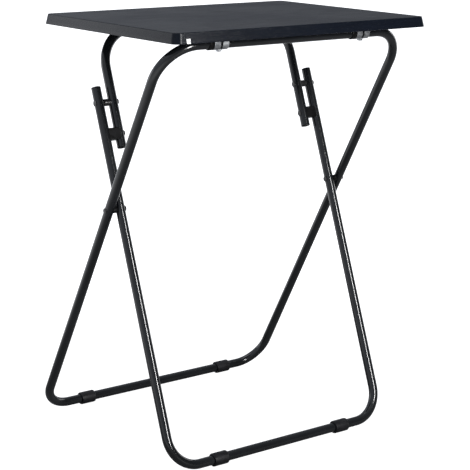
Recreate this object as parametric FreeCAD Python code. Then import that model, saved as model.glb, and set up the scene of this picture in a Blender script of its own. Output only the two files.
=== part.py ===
import FreeCAD, Part
import math
import os

os.makedirs("parts", exist_ok=True)

# Folding tray table: a flat board on two crossed frames of round steel tube.
# Axes: +X to the table's right, +Y to its back, +Z up. Lengths are in millimetres.
# The origin is on the floor, under the middle of the table's outline.
# Every leg frame is flat, so it is laid out in the side plane (Y, Z) and along X.

Vector = FreeCAD.Vector
X_AXIS = Vector(1, 0, 0)
Z_AXIS = Vector(0, 0, 1)
LEFT_RIGHT = (("left", -1), ("right", 1))

# ---- Driving dimensions ----

# Tray
tray_width = 480.0
tray_depth = 373.0
tray_thickness = 16.0
tray_height = 684.0
edge_slope = 3.3            # the top face is set in by this much all round
tray_corner_radius = 12.0
tray_edge_rounding = 1.0

# Tube
tube_radius = 7.5
tube_wall = 1.0
top_bend_radius = 60.0
floor_bend_radius = 50.0
running_gap = 0.3           # between surfaces of bodies that move past each other
shaft_clearance = 0.06      # radial, between a rivet and the hole that turns on it

# Half of the distance between the two legs of each frame, centre to centre
outer_half_width = 230.15
inner_half_width = 209.8
upper_half_width = 184.3

# Side plane, with Y counted from the middle of the tray
hinge_drop = 8.0            # from the tray's underside down to the top bars' centres
foot_radius = 10.5
outer_top_y = -141.7        # outer frame's top bar, in the front clips
outer_floor_y = 232.7       # outer frame's floor bar, at the back
inner_floor_y = -131.8      # inner leg's floor bar, at the front
clip_spacing_y = 250.1      # from the front clips to the rear clips
top_bar_to_scissor = 305.7  # along the outer frame
scissor_to_knee = 168.0     # along the inner leg
inner_end_past_knee = 24.0  # inner leg's tube, past the knee rivet
upper_tail_past_knee = 72.0 # upper knee frame's tube, past the knee rivet
knee_to_lock = 50.6         # along the upper knee frame's tail

# Feet
foot_length = 27.0
outer_foot_x = 144.7
inner_foot_x = 122.8
foot_rounding = 1.2

# End plugs
plug_depth = 14.0
plug_cap_height = 2.6

# Rivets and bushes
rivet_radius = 3.0
rivet_head_radius = 4.7
rivet_head_height = 1.4
knee_head_height = 0.6      # the knee rivets' outer heads are almost flush
drill_past_wall = 1.0       # how far a cross hole is drilled past the tube's outside
scissor_spacer_radius = 5.2
knee_spacer_radius = 5.6

# Lock saddles, on the upper knee frame's tail
saddle_length = 19.0
saddle_half_depth = 7.4
saddle_wall = 1.8
saddle_rounding = 1.5
saddle_front_reach = 5.2    # how far the front lip reaches past the inner leg's near side

# Clips that hold the top bars under the tray
clip_sheet = 1.4
clip_bar_gap = 0.3
clip_band_width = 10.6
clip_band_gap = 4.2
clip_flange_reach = 25.0
clip_screw_offset = 17.5
clip_tab_width = 7.0
clip_tab_drop = 2.6
clip_tab_rounding = 1.2
clip_corner_radius = 4.0
clip_bridge_height = 4.2     # what joins the two bands, under the tray
front_clip_x = (("left", -133.5), ("right", 138.4))
rear_clip_x = (("left", -92.0), ("right", 92.0))

# Wood screws that hold the clips
screw_radius = 1.75
screw_length = 12.0
screw_head_radius = 3.6
screw_head_height = 1.9
screw_hole_past = 1.4       # how far a flange's hole is drilled past its faces

# Collars on the outer frame's top bar, beside the front clips
collar_radius = 9.0
collar_width = 7.0
collar_gap = 1.2
collar_rounding = 0.8
collar_relief = 0.6         # room round a collar, in a groove of the tray's underside

# Blank label on the front edge
label_width = 6.8
label_height = 7.2
label_thickness = 0.25
label_x = -217.0
label_above_edge = 0.3

# Domed heads and caps
dome_steps = 6
dome_rim_share = 0.35       # how much of a dome's height is its straight rim

# Cutting tools, long enough to pass through what they shape
leg_cut_reach = 40.0
long_leg_cut_reach = 120.0

# An edge is told from its neighbours by its box, to within this much
edge_tolerance = 0.01

# ---- Derived places in the side plane ----

bar_z = tray_height - tray_thickness - hinge_drop
underside_z = tray_height - tray_thickness
back_y = outer_floor_y + foot_radius
front_y = -tray_depth / 2
y_shift = -(front_y + back_y) / 2


def side(y, z):
    """A point of the side plane, with Y counted from the middle of the tray."""
    return Vector(0, y + y_shift, z)


def along(start, direction, distance):
    return start + direction * distance


def unit(vector):
    copy = Vector(vector)
    copy.normalize()
    return copy


tray_middle = side(0, tray_height)
outer_top = side(outer_top_y, bar_z)
outer_floor = side(outer_floor_y, foot_radius)
outer_down = unit(outer_floor - outer_top)
scissor = along(outer_top, outer_down, top_bar_to_scissor)
inner_floor = side(inner_floor_y, foot_radius)
inner_up = unit(scissor - inner_floor)
knee = along(scissor, inner_up, scissor_to_knee)
inner_end = along(knee, inner_up, inner_end_past_knee)
upper_top = side(outer_top_y + clip_spacing_y, bar_z)
upper_down = unit(knee - upper_top)
upper_end = along(knee, upper_down, upper_tail_past_knee)
lock = along(knee, upper_down, knee_to_lock)


# ---- Helpers ----

def at_x(point, x):
    return Vector(x, point.y, point.z)


def write(name, shape):
    shape.exportStep("parts/" + name + ".step")


def bent_path(corners, radii, closed):
    """Straight runs joined by tangent arcs. radii holds one radius for each corner that bends."""
    count = len(corners)
    ends = []
    arcs = []
    for i, corner in enumerate(corners):
        if not closed and i in (0, count - 1):
            ends.append((corner, corner))
            arcs.append(None)
            continue
        back = unit(corners[i - 1] - corner)
        ahead = unit(corners[(i + 1) % count] - corner)
        half = back.getAngle(ahead) / 2
        cut = radii[i] / math.tan(half)
        centre = corner + unit(back + ahead) * (radii[i] / math.sin(half))
        middle = centre + unit(corner - centre) * radii[i]
        first = corner + back * cut
        last = corner + ahead * cut
        ends.append((first, last))
        arcs.append(Part.Arc(first, middle, last).toShape())
    edges = []
    runs = count if closed else count - 1
    for i in range(runs):
        following = (i + 1) % count
        edges.append(Part.LineSegment(ends[i][1], ends[following][0]).toShape())
        if arcs[following] is not None:
            edges.append(arcs[following])
    return Part.Wire(edges)


def swept(path, radius):
    """A round bar along a path."""
    first = path.OrderedEdges[0]
    start = first.valueAt(first.FirstParameter)
    direction = first.tangentAt(first.FirstParameter)
    ring = Part.Wire(Part.makeCircle(radius, start, direction))
    bar = path.makePipeShell([ring], True, False)
    return bar if bar.Volume > 0 else bar.reversed()


def tube(corners, radii, closed):
    path = bent_path(corners, radii, closed)
    return swept(path, tube_radius).cut(swept(path, tube_radius - tube_wall))


def rod_x(point, x_start, x_end, radius):
    """A round rod along X."""
    low, high = min(x_start, x_end), max(x_start, x_end)
    return Part.makeCylinder(radius, high - low, at_x(point, low), X_AXIS)


def rod(start, end, radius):
    return Part.makeCylinder(radius, (end - start).Length, start, end - start)


def leg_rod(point, direction, x, radius, half_length=leg_cut_reach):
    """A round rod along a leg, through a point of it, used to shape what fits the leg."""
    middle = at_x(point, x)
    return rod(middle - direction * half_length, middle + direction * half_length, radius)


def turned(profile, start, direction):
    """A solid of revolution. profile holds (distance along the axis, radius) points."""
    points = [Vector(r, 0, a) for a, r in profile]
    face = Part.Face(Part.makePolygon(points + [points[0]]))
    solid = face.revolve(Vector(0, 0, 0), Z_AXIS, 360)
    solid.Placement = FreeCAD.Placement(start, FreeCAD.Rotation(Z_AXIS, direction))
    return solid


def domed_head(start, direction, radius, height):
    """A low domed head that stands on start and faces along direction."""
    dome = [(0.0, 0.0), (0.0, radius)]
    for i in range(dome_steps + 1):
        angle = math.radians(90 * i / dome_steps)
        share = dome_rim_share + (1 - dome_rim_share) * math.sin(angle)
        dome.append((height * share, radius * math.cos(angle)))
    return turned(dome, start, direction)


# ---- Tray ----

def screw_places(clip_x, bar_y):
    """Screw axes of one clip: two, one each side of the bar, in the gap between its bands."""
    return [Vector(clip_x, bar_y + sign * clip_screw_offset, underside_z) for sign in (-1, 1)]


def collar_low_x(clip_x):
    """The left face of the collar that stands beside a front clip."""
    clip_side = clip_x - clip_band_width - clip_band_gap / 2
    return clip_side - collar_gap - collar_width


def clip_list():
    front = [("front_clip_" + name, x, outer_top.y) for name, x in front_clip_x]
    rear = [("rear_clip_" + name, x, upper_top.y) for name, x in rear_clip_x]
    return front, rear


def rounded_rectangle(width, depth, radius, centre):
    """A closed wire with rounded corners, level, about a centre point."""
    half_w, half_d = width / 2, depth / 2
    corners = [
        centre + Vector(sx * half_w, sy * half_d, 0)
        for sx, sy in ((-1, -1), (1, -1), (1, 1), (-1, 1))
    ]
    return bent_path(corners, [radius] * len(corners), True)


def tray_board():
    bottom_centre = Vector(0, tray_middle.y, underside_z)
    top_width = tray_width - 2 * edge_slope
    top_depth = tray_depth - 2 * edge_slope
    bottom = rounded_rectangle(tray_width, tray_depth, tray_corner_radius, bottom_centre)
    top = rounded_rectangle(top_width, top_depth, tray_corner_radius - edge_slope / 2, tray_middle)
    board = Part.makeLoft([bottom, top], True, True)
    rims = [e for e in board.Edges if abs(e.BoundBox.ZMin - tray_height) < edge_tolerance]
    board = board.makeFillet(tray_edge_rounding, rims)
    for clips in clip_list():
        for _, x, y in clips:
            for place in screw_places(x, y):
                depth = screw_length - clip_sheet
                board = board.cut(Part.makeCylinder(screw_radius, depth, place, Z_AXIS))
    for _, clip_x in front_clip_x:
        low_x = collar_low_x(clip_x)
        room = collar_radius + collar_relief
        groove = rod_x(outer_top, low_x - collar_relief, low_x + collar_width + collar_relief, room)
        board = board.cut(groove)
    return board


def edge_label():
    """A thin blank label on the sloping front edge."""
    slope = math.degrees(math.atan2(edge_slope, tray_thickness))
    label = Part.makeBox(label_width, label_thickness, label_height)
    label.translate(Vector(label_x - label_width / 2, -label_thickness, label_above_edge))
    label.rotate(Vector(0, 0, 0), X_AXIS, -slope)
    label.translate(Vector(0, front_y + y_shift, underside_z))
    return label


# ---- Clips and their screws ----

def clip(x, bar_y):
    """A sheet-metal saddle: two bands under the bar, joined at their flanges and by a small tab."""
    inner = tube_radius + clip_bar_gap
    outer = inner + clip_sheet
    width = 2 * clip_band_width + clip_band_gap
    low_x = x - width / 2
    bar = Vector(low_x, bar_y, bar_z)
    to_underside = underside_z - bar_z
    body = Part.makeCylinder(outer, width, bar, X_AXIS)
    body = body.fuse(Part.makeBox(width, 2 * outer, to_underside, bar - Vector(0, outer, 0)))
    top_trim = Part.makeBox(width, 4 * outer, 2 * outer, Vector(low_x, bar_y - 2 * outer, underside_z))
    body = body.cut(top_trim)
    flange_low = Vector(low_x, bar_y - clip_flange_reach, underside_z - clip_sheet)
    flange = Part.makeBox(width, 2 * clip_flange_reach, clip_sheet, flange_low)
    corners = [e for e in flange.Edges if abs(e.BoundBox.ZLength - clip_sheet) < edge_tolerance]
    body = body.fuse(flange.makeFillet(clip_corner_radius, corners))
    body = body.cut(Part.makeCylinder(inner, width, bar, X_AXIS))
    way_up = Part.makeBox(width, 2 * inner, to_underside, bar - Vector(0, inner, 0))
    body = body.cut(way_up)
    gap_low = Vector(x - clip_band_gap / 2, bar_y - 2 * outer, bar_z - 2 * outer)
    gap_height = 2 * outer + to_underside - clip_bridge_height
    body = body.cut(Part.makeBox(clip_band_gap, 4 * outer, gap_height, gap_low))
    tab_low = Vector(x - clip_tab_width / 2, bar_y - clip_tab_width / 2, bar_z - outer - clip_tab_drop)
    tab = Part.makeBox(clip_tab_width, clip_tab_width, clip_tab_drop + clip_sheet, tab_low)
    tab = tab.makeFillet(clip_tab_rounding, [e for e in tab.Edges if e.BoundBox.ZMin < tab_low.z + edge_tolerance])
    body = body.fuse(tab.cut(Part.makeCylinder(inner, width, bar, X_AXIS)))
    for place in screw_places(x, bar_y):
        drill_start = place - Z_AXIS * (clip_sheet + screw_hole_past)
        drill_length = clip_sheet + 2 * screw_hole_past
        hole = Part.makeCylinder(screw_radius, drill_length, drill_start, Z_AXIS)
        body = body.cut(hole)
    return body.removeSplitter()


def clip_screws(clips):
    """The pan-head screws of a pair of clips, as separate solids of one node."""
    screws = []
    for _, x, y in clips:
        for place in screw_places(x, y):
            seat = place - Z_AXIS * clip_sheet
            head = domed_head(seat, -Z_AXIS, screw_head_radius, screw_head_height)
            shank = Part.makeCylinder(screw_radius, screw_length, seat, Z_AXIS)
            screws.append(head.fuse(shank).removeSplitter())
    return Part.makeCompound(screws)


# ---- Tube frames ----

def outer_frame_tube():
    """A closed loop: the top bar is in the front clips, and the floor bar is at the back."""
    w = outer_half_width
    corners = [at_x(outer_top, -w), at_x(outer_top, w), at_x(outer_floor, w), at_x(outer_floor, -w)]
    radii = [top_bend_radius, top_bend_radius, floor_bend_radius, floor_bend_radius]
    loop = tube(corners, radii, True)
    reach = tube_radius + drill_past_wall
    for _, sign in LEFT_RIGHT:
        loop = loop.cut(rod_x(scissor, sign * (w - reach), sign * (w + reach), rivet_radius))
    return loop


def inner_leg_tube():
    """A U that stands on the front feet. Its ends are open and take plugs."""
    w = inner_half_width
    corners = [at_x(inner_end, -w), at_x(inner_floor, -w), at_x(inner_floor, w), at_x(inner_end, w)]
    leg = tube(corners, [0, floor_bend_radius, floor_bend_radius, 0], False)
    reach = tube_radius + drill_past_wall
    turning_radius = rivet_radius + shaft_clearance
    for _, sign in LEFT_RIGHT:
        span = (sign * (w - reach), sign * (w + reach))
        leg = leg.cut(rod_x(scissor, *span, turning_radius))
        leg = leg.cut(rod_x(knee, *span, rivet_radius))
    return leg


def upper_knee_tube():
    """An upside-down U. Its top bar is in the rear clips, and its tails lie beside the inner leg."""
    w = upper_half_width
    corners = [at_x(upper_end, -w), at_x(upper_top, -w), at_x(upper_top, w), at_x(upper_end, w)]
    knee_frame = tube(corners, [0, top_bend_radius, top_bend_radius, 0], False)
    reach = tube_radius + drill_past_wall
    for _, sign in LEFT_RIGHT:
        span = (sign * (w - reach), sign * (w + reach))
        knee_frame = knee_frame.cut(rod_x(knee, *span, rivet_radius))
        knee_frame = knee_frame.cut(rod_x(lock, *span, rivet_radius))
    return knee_frame


# ---- Plastic parts on the tubes ----

def foot(bar, x):
    """A sleeve on a floor bar."""
    low_x = x - foot_length / 2
    sleeve = Part.makeCylinder(foot_radius, foot_length, at_x(bar, low_x), X_AXIS)
    sleeve = sleeve.makeFillet(foot_rounding, [e for e in sleeve.Edges if e.BoundBox.XLength < edge_tolerance])
    return sleeve.cut(Part.makeCylinder(tube_radius, foot_length, at_x(bar, low_x), X_AXIS))


def end_plug(end, outwards, x):
    """A plug pushed into a tube's end, with a low domed cap that covers the wall."""
    mouth = at_x(end, x)
    inside = Part.makeCylinder(tube_radius - tube_wall, plug_depth, mouth, -outwards)
    cap = domed_head(mouth, outwards, tube_radius, plug_cap_height)
    return inside.fuse(cap).removeSplitter()


def bar_collar(clip_x):
    """A ring on the outer frame's top bar that keeps it from sliding sideways in the clips."""
    start = at_x(outer_top, collar_low_x(clip_x))
    ring = Part.makeCylinder(collar_radius, collar_width, start, X_AXIS)
    ring = ring.makeFillet(collar_rounding, [e for e in ring.Edges if e.BoundBox.XLength < edge_tolerance])
    return ring.cut(Part.makeCylinder(tube_radius, collar_width, start, X_AXIS))


# ---- Scissor pivot ----

def scissor_rivet(sign):
    """Fast in the outer frame. The inner leg turns on it."""
    outside = sign * (outer_half_width + tube_radius)
    inside = sign * (inner_half_width - tube_radius - running_gap)
    shank = rod_x(scissor, outside, inside, rivet_radius)
    outer_head = domed_head(at_x(scissor, outside), X_AXIS * sign, rivet_head_radius, rivet_head_height)
    inner_head = domed_head(at_x(scissor, inside), -X_AXIS * sign, rivet_head_radius, rivet_head_height)
    return shank.fuse([outer_head, inner_head]).removeSplitter()


def scissor_spacer(sign):
    """A short bush between the legs. It is hollowed to sit on the outer one, and flat towards the inner."""
    centre = sign * outer_half_width
    flat_end = sign * (inner_half_width + tube_radius + running_gap)
    spacer = rod_x(scissor, centre, flat_end, scissor_spacer_radius)
    spacer = spacer.cut(rod_x(scissor, centre, flat_end, rivet_radius))
    return spacer.cut(leg_rod(scissor, outer_down, centre, tube_radius))


# ---- Knee ----

def knee_rivet(sign):
    """The outer half of the knee's pivot, fast in the inner leg."""
    outside = sign * (inner_half_width + tube_radius)
    inside = sign * (inner_half_width - tube_radius)
    shank = rod_x(knee, outside, inside, rivet_radius)
    shank = shank.common(leg_rod(knee, inner_up, sign * inner_half_width, tube_radius))
    head = domed_head(at_x(knee, outside), X_AXIS * sign, rivet_head_radius, knee_head_height)
    root = rod_x(knee, outside, outside - sign * tube_radius, rivet_radius)
    return shank.fuse([root, head]).removeSplitter()


def knee_bush(sign):
    """The inner half of the knee's pivot, fast in the upper knee frame."""
    centre = sign * upper_half_width
    inside = sign * (upper_half_width - tube_radius)
    near_leg = sign * (inner_half_width - tube_radius - running_gap)
    shank = rod_x(knee, inside, sign * (upper_half_width + tube_radius), rivet_radius)
    spacer = rod_x(knee, centre, near_leg, knee_spacer_radius)
    spacer = spacer.cut(leg_rod(knee, upper_down, centre, tube_radius))
    head = domed_head(at_x(knee, inside), -X_AXIS * sign, rivet_head_radius, rivet_head_height)
    return shank.fuse([spacer, head]).removeSplitter()


def lock_rivet_end(sign):
    return sign * (inner_half_width - tube_radius - saddle_wall - running_gap)


def saddle_block(x_near, x_far):
    """A block square to the upper knee frame's tail, centred on the lock's rivet."""
    width = abs(x_far - x_near)
    depth = 2 * saddle_half_depth
    block = Part.makeBox(width, depth, saddle_length)
    block.translate(Vector(0, -saddle_half_depth, -saddle_length / 2))
    block = block.makeFillet(saddle_rounding, [e for e in block.Edges if e.BoundBox.XLength > width - edge_tolerance])
    turn = FreeCAD.Rotation(Z_AXIS, -upper_down)
    block.Placement = FreeCAD.Placement(at_x(lock, min(x_near, x_far)), turn)
    return block


def lock_saddle(sign):
    """A plastic block on the tail. Its front lip stops against the front of the inner leg."""
    tail_x = sign * upper_half_width
    leg_x = sign * inner_half_width
    block = saddle_block(tail_x, leg_x - sign * (tube_radius - saddle_front_reach))
    block = block.cut(leg_rod(lock, upper_down, tail_x, tube_radius))
    room = tube_radius + running_gap
    block = block.cut(leg_rod(knee, inner_up, leg_x, room, long_leg_cut_reach))
    # Behind the leg the block stops short, so that the tail can swing forwards.
    cutter = 4 * tube_radius
    behind = Part.makeBox(cutter, cutter, 2 * cutter, Vector(0, 0, -cutter))
    start = leg_x - room if sign > 0 else leg_x + room - cutter
    behind.Placement = FreeCAD.Placement(at_x(lock, start), FreeCAD.Rotation(Z_AXIS, inner_up))
    block = block.cut(behind)
    block = block.cut(rod_x(lock, tail_x, lock_rivet_end(sign), rivet_radius))
    return max(block.Solids, key=lambda s: s.Volume)


def lock_rivet(sign):
    """Holds the lock saddle on the tail. Its head is inside, and it ends in the block."""
    inside = sign * (upper_half_width - tube_radius)
    shank = rod_x(lock, inside, lock_rivet_end(sign), rivet_radius)
    head = domed_head(at_x(lock, inside), -X_AXIS * sign, rivet_head_radius, rivet_head_height)
    return shank.fuse(head).removeSplitter()


# ---- Write every piece ----

front_clips, rear_clips = clip_list()

write("tray_board", tray_board())
write("edge_label", edge_label())
for name, x, y in front_clips + rear_clips:
    write(name, clip(x, y))
write("front_clip_screws", clip_screws(front_clips))
write("rear_clip_screws", clip_screws(rear_clips))

write("outer_frame_tube", outer_frame_tube())
write("inner_leg_tube", inner_leg_tube())
write("upper_knee_tube", upper_knee_tube())

for name, x in front_clip_x:
    write("bar_collar_" + name, bar_collar(x))

for name, sign in LEFT_RIGHT:
    write("outer_foot_" + name, foot(outer_floor, sign * outer_foot_x))
    write("inner_foot_" + name, foot(inner_floor, sign * inner_foot_x))
    write("inner_leg_plug_" + name, end_plug(inner_end, inner_up, sign * inner_half_width))
    write("upper_knee_plug_" + name, end_plug(upper_end, upper_down, sign * upper_half_width))
    write("scissor_rivet_" + name, scissor_rivet(sign))
    write("scissor_spacer_" + name, scissor_spacer(sign))
    write("knee_rivet_" + name, knee_rivet(sign))
    write("knee_bush_" + name, knee_bush(sign))
    write("lock_saddle_" + name, lock_saddle(sign))
    write("lock_rivet_" + name, lock_rivet(sign))

for name, point in (("tray hinge", outer_top), ("scissor", scissor), ("knee frame hinge", upper_top),
                    ("knee", knee)):
    print(name, "at y", round(point.y, 3), "z", round(point.z, 3))
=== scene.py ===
import math

import bmesh
import bpy
from mathutils import Matrix, Vector


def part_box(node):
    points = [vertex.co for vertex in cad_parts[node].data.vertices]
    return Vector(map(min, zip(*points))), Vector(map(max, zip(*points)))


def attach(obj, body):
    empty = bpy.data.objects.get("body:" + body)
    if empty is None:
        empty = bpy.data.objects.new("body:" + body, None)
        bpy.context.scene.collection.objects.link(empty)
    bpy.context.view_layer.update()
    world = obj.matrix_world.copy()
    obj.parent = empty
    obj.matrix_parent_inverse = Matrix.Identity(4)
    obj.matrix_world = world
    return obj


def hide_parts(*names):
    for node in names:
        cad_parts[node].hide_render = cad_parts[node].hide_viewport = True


# A folding tray table: a dark board on crossed frames of gloss black tube.
# Lengths are in metres: +X to the table's right, +Y to its back, +Z up.

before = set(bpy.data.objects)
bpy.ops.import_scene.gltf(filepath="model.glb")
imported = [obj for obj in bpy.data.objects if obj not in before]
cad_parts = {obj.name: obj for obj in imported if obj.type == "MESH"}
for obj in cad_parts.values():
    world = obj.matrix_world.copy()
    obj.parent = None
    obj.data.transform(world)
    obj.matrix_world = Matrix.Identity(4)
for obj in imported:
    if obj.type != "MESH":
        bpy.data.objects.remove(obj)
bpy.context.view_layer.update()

MM = 0.001
X_AXIS = Vector((1, 0, 0))
Z_AXIS = Vector((0, 0, 1))
SIDES = (("left", -1), ("right", 1))
STRAIGHT = (0.0, 0.0, 0.0)
ABOUT = (0.0, 0.0, math.pi)

# ---- Sizes that the boxes of the CAD nodes don't give ----

TUBE_RADIUS = 7.5 * MM
TUBE_WALL = 1.0 * MM
TOP_BEND = 60 * MM
FLOOR_BEND = 50 * MM
BEND_STEPS = 26
TUBE_SIDES = 56
FOOT_SIDES = 64
SCREW_SIDES = 32
GROOVE_SIDES = 96

BOARD_CORNER = 12 * MM
BOARD_LEAST_CORNER = 2 * MM
BOARD_EDGE_SET_IN = 3.3 * MM
BOARD_TOP_ROUNDING = 1.1 * MM
BOARD_BOTTOM_ROUNDING = 0.5 * MM
COLLAR_RELIEF = 0.6 * MM

RIVET_SHANK = 3.0 * MM
RIVET_HEAD = 4.7 * MM
RIVET_HEAD_HEIGHT = 1.4 * MM
KNEE_HEAD_HEIGHT = 0.6 * MM
SCREW_SHANK = 1.75 * MM
SCREW_HEAD = 3.6 * MM
SCREW_HEAD_HEIGHT = 1.9 * MM
SCREW_LENGTH = 12 * MM
SCREW_SHANK_SHARE = 0.75
SCREW_TIP = 0.3 * MM
SLOT_LENGTH = 3.8 * MM
SLOT_WIDTH = 0.9 * MM
SLOT_DEPTH = 1.2 * MM
SCREW_SEED = 4
PLUG_CAP = 2.6 * MM
PLUG_DEPTH = 14 * MM
PLUG_CHAMFER = 0.8 * MM
PLUG_PLAY = 0.05 * MM
FOOT_ROUNDING = 1.7 * MM
COLLAR_ROUNDING = 0.9 * MM
SPACER_ROUNDING = 0.3 * MM
SLEEVE_GRIP = 0.2 * MM
LEAST_RADIUS = 0.02 * MM
HAIR = 0.002 * MM
FLAT_BORDER = 6 * MM
# The most of a side that the rounding of one of its corners takes.
ROUNDING_SHARE = 0.48

# ---- Light and camera ----

BRIGHT_TOWARDS = (-0.75, 0.45, 0.30)
# The floor's painted light is brightest towards this direction.
FLOOR_PAINTED_LIGHT_TOWARDS = (-0.565, 0.825, 0.0)
DIM_SIDE = (0.15, 0.157, 0.17, 1.0)
BRIGHT_SIDE = (0.74, 0.78, 0.86, 1.0)
WHITE = (1.0, 1.0, 1.0, 1.0)
FLOOR_REACH = 30.0
FLOOR_GLOW = 0.99
# Strength of the floor's painted glow, which follows its painted shade and light.
FLOOR_PAINTED_GLOW = 0.55
# Name, place, target, width and height in metres, and power in watts.
SOFTBOXES = (
    ("front_softbox", (0.33, -2.08, 0.90), (0, -0.1, 0.2), 0.22, 0.85, 42),
    ("left_softbox", (-1.7, 2.0, 0.80), (0, 0, 0.5), 1.3, 0.9, 7),
    ("right_softbox", (1.9, 0.3, 0.75), (0, 0, 0.45), 0.8, 1.3, 7),
    ("top_softbox", (-0.2, 0.4, 2.8), (0, 0, 0.2), 2.0, 2.0, 18),
)
CAMERA_PLACE = (-1.4149, -1.9445, 0.8990)
CAMERA_AZIMUTH = -36.693
CAMERA_ELEVATION = 13.215
CAMERA_ROLL = 0.355
CAMERA_LENS = 114.95
CAMERA_SHIFT = (-0.0106, -0.0162)


# ---- Shader node groups ----

def add_node(tree, kind, **settings):
    node = tree.nodes.new(kind)
    for key, value in settings.items():
        setattr(node, key, value)
    return node


def wire(tree, source, target):
    """Feeds a socket from another socket, or sets its value."""
    if isinstance(source, bpy.types.NodeSocket):
        tree.links.new(source, target)
    else:
        target.default_value = source


def shader_group(name, inputs, outputs):
    tree = bpy.data.node_groups.new(name, "ShaderNodeTree")
    for label, kind, value in inputs:
        socket = tree.interface.new_socket(
            name=label, in_out="INPUT", socket_type="NodeSocket" + kind)
        if value is not None:
            socket.default_value = value
    for label, kind in outputs:
        tree.interface.new_socket(name=label, in_out="OUTPUT", socket_type="NodeSocket" + kind)
    return tree, add_node(tree, "NodeGroupInput").outputs, add_node(tree, "NodeGroupOutput").inputs


def math_node(tree, operation, first, second=None, clamp=False):
    node = add_node(tree, "ShaderNodeMath", operation=operation, use_clamp=clamp)
    wire(tree, first, node.inputs[0])
    if second is not None:
        wire(tree, second, node.inputs[1])
    return node.outputs[0]


def noise(tree, place, scale, detail=3.0, rough=0.55, stretch=None):
    if stretch is not None:
        mapping = add_node(tree, "ShaderNodeMapping")
        wire(tree, place, mapping.inputs["Vector"])
        mapping.inputs["Scale"].default_value = stretch
        place = mapping.outputs[0]
    node = add_node(tree, "ShaderNodeTexNoise")
    wire(tree, place, node.inputs["Vector"])
    wire(tree, scale, node.inputs["Scale"])
    node.inputs["Detail"].default_value = detail
    node.inputs["Roughness"].default_value = rough
    return node.outputs["Fac"]


def remap(tree, value, low, high, new_low=0.0, new_high=1.0):
    node = add_node(tree, "ShaderNodeMapRange", interpolation_type="SMOOTHSTEP")
    for index, part in enumerate((value, low, high, new_low, new_high)):
        wire(tree, part, node.inputs[index])
    return node.outputs[0]


def between(tree, mask, at_zero, at_one):
    return remap(tree, mask, 0.0, 1.0, at_zero, at_one)


def mix_colour(tree, mask, first, second):
    node = add_node(tree, "ShaderNodeMix", data_type="RGBA")
    wire(tree, mask, node.inputs[0])
    wire(tree, first, node.inputs[6])
    wire(tree, second, node.inputs[7])
    return node.outputs[2]


def multiply_colours(tree, first, second):
    node = add_node(tree, "ShaderNodeMix", data_type="RGBA", blend_type="MULTIPLY")
    wire(tree, 1.0, node.inputs[0])
    wire(tree, first, node.inputs[6])
    wire(tree, second, node.inputs[7])
    return node.outputs[2]


def weighted(tree, base, mask, weight):
    """The base value plus a share of the mask, kept from 0 to 1."""
    return math_node(tree, "ADD", base, math_node(tree, "MULTIPLY", mask, weight), clamp=True)


def make_mottle_group():
    """Slow cloudy change between two colours, with the mask that makes it."""
    tree, given, put = shader_group(
        "cloudy_change",
        [("Place", "Vector", None), ("Scale", "Float", 20.0), ("First", "Color", (0, 0, 0, 1)),
         ("Second", "Color", (1, 1, 1, 1))],
        [("Colour", "Color"), ("Mask", "Float")])
    broad = noise(tree, given["Place"], given["Scale"], 4.0)
    mask = remap(tree, broad, 0.35, 0.65)
    wire(tree, mix_colour(tree, mask, given["First"], given["Second"]), put["Colour"])
    wire(tree, mask, put["Mask"])
    return tree


def make_skin_group():
    """The small relief of a coat or a moulded skin: soft waves and fine specks."""
    tree, given, put = shader_group(
        "fine_skin",
        [("Place", "Vector", None), ("Wave Scale", "Float", 500.0), ("Wave Depth", "Float", 1.0),
         ("Speck Scale", "Float", 3000.0), ("Speck Depth", "Float", 0.2)],
        [("Height", "Float")])
    waves = noise(tree, given["Place"], given["Wave Scale"], 1.0)
    waves = math_node(tree, "MULTIPLY", waves, given["Wave Depth"])
    specks = noise(tree, given["Place"], given["Speck Scale"], 2.0)
    specks = math_node(tree, "MULTIPLY", specks, given["Speck Depth"])
    wire(tree, math_node(tree, "ADD", waves, specks), put["Height"])
    return tree


def make_wear_group():
    """Where a coat is rubbed: on the marked edges, broken up by noise."""
    tree, given, put = shader_group(
        "rubbed_edges",
        [("Place", "Vector", None), ("Edge", "Float", 0.0), ("Scale", "Float", 150.0),
         ("Amount", "Float", 0.5)],
        [("Mask", "Float")])
    broken = noise(tree, given["Place"], given["Scale"], 5.0, 0.65)
    reach = math_node(tree, "MULTIPLY", given["Edge"], given["Amount"])
    start = math_node(tree, "SUBTRACT", 1.0, reach)
    high = math_node(tree, "ADD", start, 0.12)
    wire(tree, remap(tree, broken, start, high), put["Mask"])
    return tree


def make_scratch_group():
    """Thin hairlines in two directions, as handling leaves them."""
    tree, given, put = shader_group(
        "hairlines",
        [("Place", "Vector", None), ("Scale", "Float", 60.0), ("Amount", "Float", 0.5)],
        [("Mask", "Float")])
    total = None
    for stretch in ((1.0, 14.0, 9.0), (12.0, 1.2, 16.0)):
        streaks = noise(tree, given["Place"], given["Scale"], 6.0, 0.6, stretch)
        thin = remap(tree, streaks, 0.62, 0.72)
        total = thin if total is None else math_node(tree, "MAXIMUM", total, thin)
    wire(tree, math_node(tree, "MULTIPLY", total, given["Amount"]), put["Mask"])
    return tree


def make_dust_group():
    """Fine settled dust: small soft flecks with broad bare areas between them."""
    tree, given, put = shader_group(
        "settled_dust",
        [("Place", "Vector", None), ("Amount", "Float", 0.1)],
        [("Mask", "Float")])
    flecks = remap(tree, noise(tree, given["Place"], 900.0, 3.0, 0.7), 0.58, 0.78)
    areas = remap(tree, noise(tree, given["Place"], 14.0, 2.0), 0.4, 0.7)
    mask = math_node(tree, "MULTIPLY", flecks, areas)
    wire(tree, math_node(tree, "MULTIPLY", mask, given["Amount"]), put["Mask"])
    return tree


MOTTLE = make_mottle_group()
SKIN = make_skin_group()
WEAR = make_wear_group()
SCRATCH = make_scratch_group()
DUST = make_dust_group()


# ---- Materials ----

def use_group(tree, group, **inputs):
    node = add_node(tree, "ShaderNodeGroup", node_tree=group)
    for label, value in inputs.items():
        wire(tree, value, node.inputs[label.replace("_", " ")])
    return node.outputs


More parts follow.
